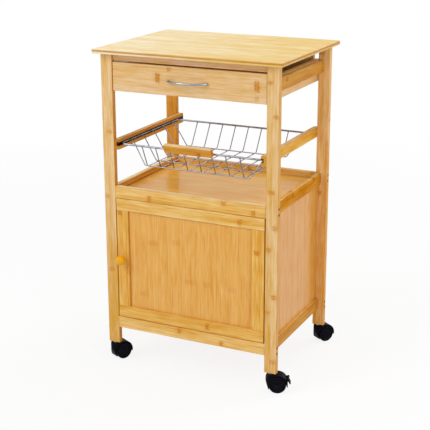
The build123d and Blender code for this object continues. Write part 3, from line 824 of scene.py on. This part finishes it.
@dataclass(frozen=True)
class Metal:
    """Plated metal with faint drawing lines and handling marks, and painted shade where it slides in a
    groove.
    """

    name: str
    bright: RGB
    dull: RGB
    roughness: float
    slide: float | None = None
    slide_edge: float = 0.0006
    # Strength of the painted shade in the groove: its least and what the cloud adds.
    groove_shade: Span = (0.46, 0.30)
    cloud_scale: float = 55.0
    clouding: Span = (0.35, 0.70)
    cloud_roughness: float = 0.10
    clear_below: float = 0.4
    line_scale: float = 420.0
    line_roughness: float = 0.04
    relief: Span = (0.04, 0.0002)

    def build(self) -> bpy.types.Material:
        """Makes the metal's material.

        Returns:
            A material in object coordinates.
        """
        graph = Graph.of_material(self.name)
        cloud = graph.speckle(self.cloud_scale, detail=3.0, roughness=0.6)
        line = graph.speckle(self.line_scale)
        colour = graph.mix(cloud.ramp(*self.clouding), self.bright, self.dull)
        # Painted shade: the rod is darkened past the slide, where it runs in a runner's groove.
        if self.slide is not None:
            aside = abs(graph.position[Axis.X])
            groove_shaded = aside.ramp(self.slide - self.slide_edge, self.slide + self.slide_edge)
            colour = graph.mix(groove_shaded * (self.groove_shade[0] + self.groove_shade[1] * cloud), colour, PAINTED_SHADE)
        worn = self.cloud_roughness * (cloud - self.clear_below).at_least(0.0)
        return graph.surface(
            {
                "Base Color": colour,
                "Metallic": 1.0,
                "Roughness": self.roughness + worn + self.line_roughness * line,
                "Normal": graph.bump(line, *self.relief),
            }
        )


@dataclass(frozen=True)
class Plastic:
    """Moulded plastic with a fine grain and rubbed patches."""

    name: str
    base: RGB
    rubbed: RGB
    roughness: float
    specular: float = 0.06
    grain_scale: float = 1500.0
    grain_roughness: float = 0.05
    patch_scale: float = 70.0
    patches: Span = (0.45, 0.75)
    patch_roughness: float = 0.16
    relief: Span = (0.10, 0.0002)

    def build(self) -> bpy.types.Material:
        """Makes the plastic's material.

        Returns:
            A material in object coordinates.
        """
        graph = Graph.of_material(self.name)
        grain = graph.speckle(self.grain_scale, detail=1.0)
        patch = graph.speckle(self.patch_scale, detail=3.0, roughness=0.6)
        roughness = self.roughness + self.patch_roughness * patch.centred()
        return graph.surface(
            {
                "Base Color": graph.mix(patch.ramp(*self.patches), self.base, self.rubbed),
                "Roughness": roughness + self.grain_roughness * grain,
                "Specular IOR Level": self.specular,
                "Normal": graph.bump(grain, *self.relief),
            }
        )


Finish = Union[Bamboo, TurnedWood, Metal, Plastic]

# The basket plating gets painted shade past the slide, where the rim runs in the runners' grooves.
BASKET_PLATING = Metal("basket_plating", (0.31, 0.315, 0.355), (0.19, 0.195, 0.225), 0.24, slide=0.1776)
HANDLE_CHROME = Metal("handle_chrome", (0.42, 0.425, 0.47), (0.26, 0.265, 0.30), 0.16)
ZINC = Metal("zinc_plating", (0.36, 0.36, 0.38), (0.24, 0.24, 0.25), 0.34)
BLACKENED = Metal("bolt_blackening", (0.10, 0.08, 0.06), (0.06, 0.05, 0.04), 0.42)
KNOB_LACQUER = TurnedWood("knob_lacquer", (0.90, 0.47, 0.008), (0.80, 0.35, 0.003))
CATCH_BROWN = Plastic("catch_brown", (0.20, 0.12, 0.06), (0.26, 0.17, 0.10), 0.42, 0.4)
HOOD_BLACK = Plastic("caster_hood_black", (0.0030, 0.0031, 0.0055), (0.006, 0.006, 0.009), 0.42, 0.04)
WHEEL_BLACK = Plastic("caster_wheel_black", (0.0028, 0.0030, 0.0060), (0.008, 0.008, 0.012), 0.36, 0.04)


def dress(finish: Finish, *nodes: str) -> None:
    """Puts a finish on CAD nodes.

    Args:
        finish: The finish to build.
        nodes: Names of the nodes that wear it.
    """
    material = finish.build()
    for name in nodes:
        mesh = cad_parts[name].data
        mesh.materials.clear()
        mesh.materials.append(material)
        log.info("dressed %s with %s", name, material.name)


def dress_boards(*boards: Bamboo) -> None:
    """Dresses boards, each with its own run of grain."""
    for board in boards:
        dress(board, board.node)


def add_object(name: str, form: bmesh.types.BMesh, material: bpy.types.Material) -> bpy.types.Object:
    """Turns a bmesh into a dressed object and frees it.

    Args:
        name: Name of the object.
        form: Its shape, in place.
        material: Its material.

    Returns:
        The new object.
    """
    mesh = bpy.data.meshes.new(name)
    form.to_mesh(mesh)
    form.free()
    mesh.materials.append(material)
    made = bpy.data.objects.new(name, mesh)
    bpy.context.scene.collection.objects.link(made)
    log.info("added %s", name)
    return made


@dataclass(frozen=True)
class Carcass:
    """Worktop, legs, rails, runners, tray and cabinet panels, with their fasteners."""

    leg_phase: float = 0.1034
    # Painted sheen: the legs are paler towards the top, the worktop paler on the left.
    leg_sheen: Span = (0.40, -0.06)
    left_sheen: Span = (0.42, 0.02)
    right_sheen: Span = (0.17, -0.06)
    top_sheen: Span = (-0.16, 0.42)
    top_strip: float = 0.0195
    top_ply: Span = (0.0044, 0.0086)
    top_ply_share: float = 0.74
    panel_strip: float = 0.0065
    # Height of the painted shade on the foot of the front top rail.
    rail_shade: float = 0.0012
    # Heights, depth and strength of the painted shade in the runners' grooves.
    slot: Span = (0.0088, 0.0176)
    slot_depth: float = 0.0065
    slot_share: float = 1.6
    # Height and strength of the painted shade where the tray's left rail meets the panel.
    corner_shade: float = 0.0022
    corner_shade_share: float = 0.62
    skin: float = 0.0005

    def build(self) -> None:
        """Dresses the carcass."""
        dress_boards(*self._legs(), *self._rails(), *self._tray(), *self._base(), *self._panels())
        dress(BLACKENED, "frame_bolts")
        dress(ZINC, "door_pivot_pins", "caster_stems")
        dress(CATCH_BROWN, "magnet_catch")

    def _legs(self) -> tuple[Bamboo, ...]:
        """Chooses the finishes of the four legs.

        Returns:
            One finish for each board.
        """
        x, z = Axis.X, Axis.Z
        left, right = self.leg_phase, -self.leg_phase
        return (
            Bamboo(
                "front_left_leg", FRONT, z, x, 11.0, phase=left, share=0.0, painted_sheen=self.left_sheen,
                turned=(x, RUSSET),
                knots=(
                    Knot(0.569, -0.2010, 0.015, 0.0036, 0.62), Knot(0.414, -0.2110, 0.013, 0.0042, 0.55),
                    Knot(0.233, -0.2050, 0.018, 0.0050, 0.72),
                ),
            ),
            Bamboo(
                "front_right_leg", FRONT, z, x, 52.0, phase=right, share=0.0, painted_sheen=self.right_sheen,
                turned=(x, FLANK),
                knots=(
                    Knot(0.7135, 0.1975, 0.016, 0.0038, 0.80), Knot(0.640, 0.2115, 0.014, 0.0042, 0.78),
                    Knot(0.473, 0.2020, 0.017, 0.0046, 0.95), Knot(0.393, 0.2115, 0.016, 0.0054, 0.72),
                    Knot(0.341, 0.1980, 0.015, 0.0048, 0.88), Knot(0.231, 0.2120, 0.014, 0.0052, 0.92),
                    Knot(0.193, 0.1970, 0.014, 0.0040, 0.66), Knot(0.074, 0.2100, 0.018, 0.0058, 0.68),
                ),
            ),
            Bamboo("back_left_leg", RUSSET, z, x, 13.0, phase=left, painted_sheen=self.leg_sheen),
            Bamboo("back_right_leg", TAWNY, z, x, 14.0, phase=right, share=0.4, painted_sheen=self.leg_sheen),
        )

    def _rails(self) -> tuple[Bamboo, ...]:
        """Chooses the finishes of the rails about the drawer and of the basket runners.

        Returns:
            One finish for each board.
        """
        x, y, z = Axis.X, Axis.Y, Axis.Z
        rail_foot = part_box("front_top_rail")[0].z
        # Painted shade on the foot of the front top rail, which deepens the gap line above the drawer.
        lip = band(z, (-BEYOND, rail_foot + self.rail_shade), 1.0, PAINTED_SHADE)
        return (
            Bamboo("front_top_rail", CLAY, x, z, 15.0, share=0.0, shades=(lip,)),
            Bamboo("back_top_rail", HONEY, x, z, 16.0),
            Bamboo("left_drawer_rail", RUSSET, y, z, 17.0),
            Bamboo(
                "right_drawer_rail", UMBER, y, z, 18.0, share=0.0, turned=(z, HONEY),
                knots=(Knot(-0.079, 0.708, 0.013),),
            ),
            Bamboo("drawer_cleats", HONEY, y, z, 19.0),
            Bamboo(
                "left_basket_runner", UMBER, y, z, 20.0, turned=(z, FRONT),
                shades=(self._slot_shade("left_basket_runner"),),
            ),
            Bamboo(
                "right_basket_runner", STRAW, y, z, 21.0, share=0.0, turned=(z, FRONT),
                shades=(self._slot_shade("right_basket_runner"),),
            ),
        )

    def _slot_shade(self, runner: str) -> Shade:
        """Returns the painted shade in the groove in the inner face of a runner.

        Args:
            runner: Name of the runner's node.

        Returns:
            The painted shade on the groove's walls and on the inner face along them.
        """
        low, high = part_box(runner)
        inner, side = min((abs(place), math.copysign(1.0, place)) for place in (low.x, high.x))
        walls = sorted((side * (inner - self.skin), side * (inner + self.slot_depth)))
        foot, lip = (low.z + height for height in self.slot)
        return Shade((walls[0], -BEYOND, foot), (walls[1], BEYOND, lip), self.slot_share, PAINTED_SHADE)

    def _tray(self) -> tuple[Bamboo, ...]:
        """Chooses the finishes of the tray's rails and panel.

        Returns:
            One finish for each board.
        """
        x, y, z = Axis.X, Axis.Y, Axis.Z
        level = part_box("tray_panel")[1].z
        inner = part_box("tray_left_rail")[1].x - self.skin
        # Painted shade on the foot of the left rail's inner face, where it meets the tray panel.
        corner_shade = Shade((inner, -BEYOND, level), (BEYOND, BEYOND, level + self.corner_shade), self.corner_shade_share, PAINTED_SHADE)
        return (
            Bamboo(
                "tray_front_rail", HONEY, x, z, 22.0, share=0.06, turned=(z, LINEN),
                knots=(
                    Knot(-0.101, 0.420, 0.018), Knot(0.088, 0.434, 0.012),
                    Knot(0.1605, 0.421, 0.015),
                ),
            ),
            Bamboo("tray_back_rail", HONEY, x, z, 23.0),
            Bamboo("tray_left_rail", RUSSET, y, z, 24.0, turned=(z, LINEN), shades=(corner_shade,)),
            Bamboo(
                "tray_right_rail", SIENNA, y, z, 25.0, share=0.1, fibre=1.6, calm=1.5, turned=(z, HONEY),
                knots=(Knot(-0.035, 0.434, 0.013),),
            ),
            Bamboo(
                "tray_panel", TRAY, x, y, 26.0, strip=self.panel_strip, share=0.0,
                seam=0.04, fibre=0.8, calm=1.2,
            ),
        )

    def _base(self) -> tuple[Bamboo, ...]:
        """Chooses the finishes of the base rails.

        Returns:
            One finish for each board.
        """
        x, y, z = Axis.X, Axis.Y, Axis.Z
        return (
            Bamboo(
                "base_front_rail", HONEY, x, z, 27.0, share=0.06,
                knots=(Knot(-0.027, 0.1065, 0.015), Knot(0.082, 0.0955, 0.013)),
            ),
            Bamboo("base_back_rail", HONEY, x, z, 28.0),
            Bamboo("base_left_rail", RUSSET, y, z, 29.0),
            Bamboo("base_right_rail", UMBER, y, z, 30.0, share=0.1, turned=(z, HONEY)),
        )

    def _panels(self) -> tuple[Bamboo, ...]:
        """Chooses the finishes of the worktop and the cabinet's thin panels.

        Returns:
            One finish for each board.
        """
        x, y, z = Axis.X, Axis.Y, Axis.Z
        strip = self.panel_strip
        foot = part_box("worktop")[0].z
        ply = band(z, (foot + self.top_ply[0], foot + self.top_ply[1]), self.top_ply_share)
        return (
            Bamboo(
                "worktop", LINEN, x, y, 3.0, strip=self.top_strip, share=0.08, painted_sheen=self.top_sheen,
                shades=(ply,),
            ),
            Bamboo("base_panel", BLUSH, x, y, 31.0, strip=strip, share=0.03, seam=0.06),
            Bamboo("left_side_panel", BLUSH, z, y, 32.0, strip=strip, share=0.02, seam=0.10, calm=0.9),
            Bamboo("right_side_panel", BLUSH, z, y, 33.0, strip=strip, share=0.02, seam=0.10, calm=0.9),
            Bamboo("back_panel", BLUSH, z, x, 34.0, strip=strip, share=0.02, seam=0.06, calm=0.6),
        )


@dataclass(frozen=True)
class Drawer:
    """Drawer box with its chrome bow handle."""

    front_strip: float = 0.0219
    side_strip: float = 0.0209

    def build(self) -> None:
        """Dresses the drawer."""
        x, y, z = Axis.X, Axis.Y, Axis.Z
        dress_boards(
            Bamboo(
                "drawer_front", BISQUE, x, z, 41.0, strip=self.front_strip, share=0.0, seam=0.12, calm=0.8,
                knots=(
                    Knot(-0.074, 0.703, 0.023, 0.0050, 1.3, 1.9),
                    Knot(0.166, 0.7015, 0.025, 0.0058, 1.3, 1.7),
                    Knot(-0.0460, 0.7245, 0.010, 0.0042, 0.8, 1.6),
                    Knot(0.166, 0.676, 0.014, 0.0050, 0.5),
                ),
            ),
            Bamboo("drawer_left_side", BISQUE, y, z, 42.0, strip=self.side_strip),
            Bamboo("drawer_right_side", BISQUE, y, z, 43.0, strip=self.side_strip),
            Bamboo("drawer_back", BISQUE, x, z, 44.0, strip=self.side_strip),
            Bamboo("drawer_bottom", BISQUE, x, y, 40.0),
        )
        dress(HANDLE_CHROME, "drawer_handle")
        dress(ZINC, "drawer_handle_screws")


@dataclass(frozen=True)
class Basket:
    """Wire basket with its wooden grip and the weld beads of its wires."""

    rim_front: float = -0.150
    rim_back: float = 0.134
    rim_level: float = 0.5406
    rim_x: float = 0.180
    drop: float = 0.0536
    front_lean: float = 0.025
    back_lean: float = 0.034
    long_wires: int = 8
    long_pitch: float = 0.035
    cross_wires: int = 5
    cross_tops: Span = (-0.109, 0.096)
    cross_feet: Span = (-0.129, 0.082)
    rim_radius: float = 0.00225
    wire_radius: float = 0.00125
    bead_radius: float = 0.0021
    bead_squash: float = 0.8

    def build(self) -> None:
        """Dresses the basket and adds its weld beads."""
        x, z = Axis.X, Axis.Z
        dress(BASKET_PLATING, "basket_rim", "basket_wires")
        dress_boards(
            Bamboo(
                "basket_handle", RUSSET, x, z, 45.0, share=0.0, turned=(z, LINEN),
                knots=(Knot(0.027, 0.538, 0.013),),
            )
        )
        self._beads()

    def _bead_places(self) -> list[Point]:
        """Works out where wires cross along the rim and over the basket's floor.

        Returns:
            The middles of the beads.
        """
        columns = [(index - (self.long_wires - 1) / 2) * self.long_pitch for index in range(self.long_wires)]
        shares = [index / (self.cross_wires - 1) for index in range(self.cross_wires)]
        reach = self.rim_x - self.rim_radius
        floor = self.rim_level - self.drop + self.wire_radius
        places: list[Point] = []
        for x in columns:
            for y, lean in ((self.rim_front, self.front_lean), (self.rim_back, -self.back_lean)):
                slope = self.rim_radius / math.hypot(lean, self.drop)
                places.append((x, y + slope * lean, self.rim_level - slope * self.drop))
        for share in shares:
            top = self.cross_tops[0] + share * (self.cross_tops[1] - self.cross_tops[0])
            foot = self.cross_feet[0] + share * (self.cross_feet[1] - self.cross_feet[0])
            places += [(-reach, top, self.rim_level), (reach, top, self.rim_level)]
            if share > 0.0:
                places += [(x, foot, floor) for x in columns]
        return places

    def _beads(self) -> None:
        """Adds the small rounded welds as one piece."""
        form = bmesh.new()
        flat = Matrix.Diagonal((1.0, 1.0, self.bead_squash, 1.0))
        for place in self._bead_places():
            shape = Matrix.Translation(place) @ flat
            bmesh.ops.create_icosphere(form, subdivisions=2, radius=self.bead_radius, matrix=shape)
        for face in form.faces:
            face.smooth = True
        piece = add_object("basket_weld_beads", form, BASKET_PLATING.build())
        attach(piece, "basket")


@dataclass(frozen=True)
class Door:
    """Framed cabinet door with its knob and catch plate."""

    stile_strip: float = 0.0150
    panel_strip: float = 0.0065
    # Widths, strength and colour of the painted shadow that the top rail and the left stile cast on the
    # panel.
    top_shadow: float = 0.0018
    side_shadow: float = 0.0009
    side_shadow_share: float = 0.8
    shadow_brown: RGB = (0.160, 0.075, 0.022)

    def build(self) -> None:
        """Dresses the door."""
        x, z = Axis.X, Axis.Z
        stile = {"strip": self.stile_strip, "share": 0.1}
        dress_boards(
            self._panel(),
            Bamboo("door_left_stile", GOLD, z, x, 36.0, **stile, knots=(Knot(0.376, -0.180),)),
            Bamboo("door_right_stile", GOLD, z, x, 37.0, **stile, knots=(Knot(0.329, 0.169),)),
            Bamboo("door_top_rail", HONEY, x, z, 38.0, share=0.0, knots=(Knot(0.127, 0.3945, 0.016),)),
            Bamboo("door_bottom_rail", GOLD, x, z, 39.0, share=0.06, knots=(Knot(0.0457, 0.1305, 0.018),)),
        )
        dress(KNOB_LACQUER, "door_knob")
        dress(ZINC, "catch_plate")

    def _panel(self) -> Bamboo:
        """Chooses the finish of the panel.

        Returns:
            A finish with a painted shadow where the panel enters the top rail and the left stile.
        """
        x, z = Axis.X, Axis.Z
        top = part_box("door_top_rail")[0].z - self.top_shadow
        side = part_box("door_left_stile")[1].x + self.side_shadow
        return Bamboo(
            "door_panel", AMBER, z, x, 35.0, strip=self.panel_strip, share=0.0,
            seam=0.05, calm=0.8, fibre=1.1,
            shades=(
                # Painted shadow below the top rail and beside the left stile.
                band(z, (top, BEYOND), 1.0, self.shadow_brown),
                band(x, (-BEYOND, side), self.side_shadow_share),
            ),
            knots=(
                Knot(0.312, -0.095, 0.030, 0.006, 0.34), Knot(0.321, -0.036, 0.022, 0.006, 0.30),
                Knot(0.2305, -0.002, 0.032, 0.006, 0.34), Knot(0.2315, 0.0435, 0.024, 0.006, 0.32),
                Knot(0.182, -0.125, 0.022, 0.006, 0.28), Knot(0.229, 0.107, 0.022, 0.006, 0.26),
            ),
        )


@dataclass(frozen=True)
class Casters:
    """Four hooded twin-wheel casters, two of them with brake pedals."""

    corners: tuple[str, ...] = ("front_left", "front_right", "back_left", "back_right")
    braked: tuple[str, ...] = ("front_right", "back_left")

    def build(self) -> None:
        """Dresses the casters."""
        dress(
            HOOD_BLACK,
            *(f"{corner}_caster_hood" for corner in self.corners),
            *(f"{corner}_brake_pedal" for corner in self.braked),
        )
        dress(WHEEL_BLACK, *(f"{corner}_caster_wheels" for corner in self.corners))
        dress(ZINC, *(f"{corner}_caster_axle" for corner in self.corners))


@dataclass(frozen=True)
class Lamp:
    """Square soft lamp that faces a point."""

    name: str
    place: Point
    target: Point
    size: float
    power: float

    def build(self) -> None:
        """Adds the lamp, unseen by the camera itself."""
        data = bpy.data.lights.new(self.name, "AREA")
        data.shape = "SQUARE"
        data.size = self.size
        data.energy = self.power
        lamp = bpy.data.objects.new(self.name, data)
        lamp.location = self.place
        lamp.rotation_euler = (Vector(self.target) - Vector(self.place)).to_track_quat("-Z", "Y").to_euler()
        lamp.visible_camera = False
        bpy.context.scene.collection.objects.link(lamp)


@dataclass(frozen=True)
class Studio:
    """White studio: world, floor and soft lamps."""

    ambient: float = 0.38
    floor_size: float = 60.0
    floor_grey: float = 0.93
    floor_white: float = 0.86
    floor_near: float = 0.7
    floor_far: float = 2.6
    lamps: tuple[Lamp, ...] = (
        Lamp("key", (-1.9, -2.6, 2.6), (0.0, 0.0, 0.45), 2.2, 62.0),
        Lamp("fill", (2.9, -1.6, 1.5), (0.0, 0.0, 0.40), 2.0, 28.0),
        Lamp("top", (0.2, 0.3, 3.4), (0.0, 0.0, 0.70), 2.4, 22.0),
        Lamp("back", (1.9, 2.7, 2.2), (0.0, 0.0, 0.45), 2.0, 44.0),
    )

    def build(self) -> None:
        """Sets the world, the floor and the lamps."""
        self._world()
        self._floor()
        for lamp in self.lamps:
            lamp.build()

    def _world(self) -> None:
        """Makes a world that is white to look at and softer as light."""
        world = bpy.data.worlds.new("studio_world")
        bpy.context.scene.world = world
        graph = Graph(world, "ShaderNodeOutputWorld")
        level = graph.in_sight().ramp(0.0, 1.0, self.ambient, 1.0)
        graph.close(graph.add("ShaderNodeBackground", {"Color": WHITE, "Strength": level}))

    def _floor(self) -> None:
        """Adds a pale floor that keeps a faint shadow and joins the white background."""
        graph = Graph.of_material("studio_floor")
        x, y, _ = graph.position
        away = (x * x + y * y).ramp(self.floor_near**2, self.floor_far**2, self.floor_white, 1.0)
        plain = graph.add("ShaderNodeBsdfDiffuse", {"Color": (*[self.floor_grey] * 3, 1.0)})
        white = graph.add("ShaderNodeEmission", {"Color": WHITE, "Strength": 1.0})
        graph.close(graph.add("ShaderNodeMixShader", {0: graph.in_sight() * away, 1: plain, 2: white}))
        form = bmesh.new()
        bmesh.ops.create_grid(form, x_segments=2, y_segments=2, size=self.floor_size / 2)
        add_object("studio_floor", form, graph.owner)


@dataclass(frozen=True)
class Viewpoint:
    """Camera on a sphere about a target, as the photograph was taken."""

    azimuth: float = 25.79
    elevation: float = 16.35
    distance: float = 2.58285
    target: Point = (-0.01024, 0.0, 0.40347)
    focal_pixels: float = 1079.74
    roll: float = -0.17
    shift_pixels: float = -22.0
    farthest: float = 100.0

    def build(self) -> None:
        """Makes the camera and hands it to the scene."""
        turn, rise = math.radians(self.azimuth), math.radians(self.elevation)
        back = Vector((math.sin(turn) * math.cos(rise), -math.cos(turn) * math.cos(rise), math.sin(rise)))
        data = bpy.data.cameras.new("camera")
        data.sensor_width = SENSOR_WIDTH
        data.lens = self.focal_pixels * SENSOR_WIDTH / IMAGE_SIZE
        data.shift_y = self.shift_pixels / IMAGE_SIZE
        data.clip_end = self.farthest
        camera = bpy.data.objects.new("camera", data)
        facing = (-back).to_track_quat("-Z", "Y").to_matrix().to_4x4()
        spin = Matrix.Rotation(math.radians(self.roll), 4, "Z")
        camera.matrix_world = Matrix.Translation(Vector(self.target) + back * self.distance) @ facing @ spin
        bpy.context.scene.collection.objects.link(camera)
        bpy.context.scene.camera = camera


def main() -> None:
    """Builds the trolley and its studio."""
    logging.basicConfig(level=logging.INFO)
    bpy.context.scene.view_settings.view_transform = "Standard"
    for assembly in (Carcass(), Drawer(), Basket(), Door(), Casters()):
        assembly.build()
        log.info("built %s", type(assembly).__name__)
    Studio().build()
    Viewpoint().build()


if __name__ == "__main__":
    main()
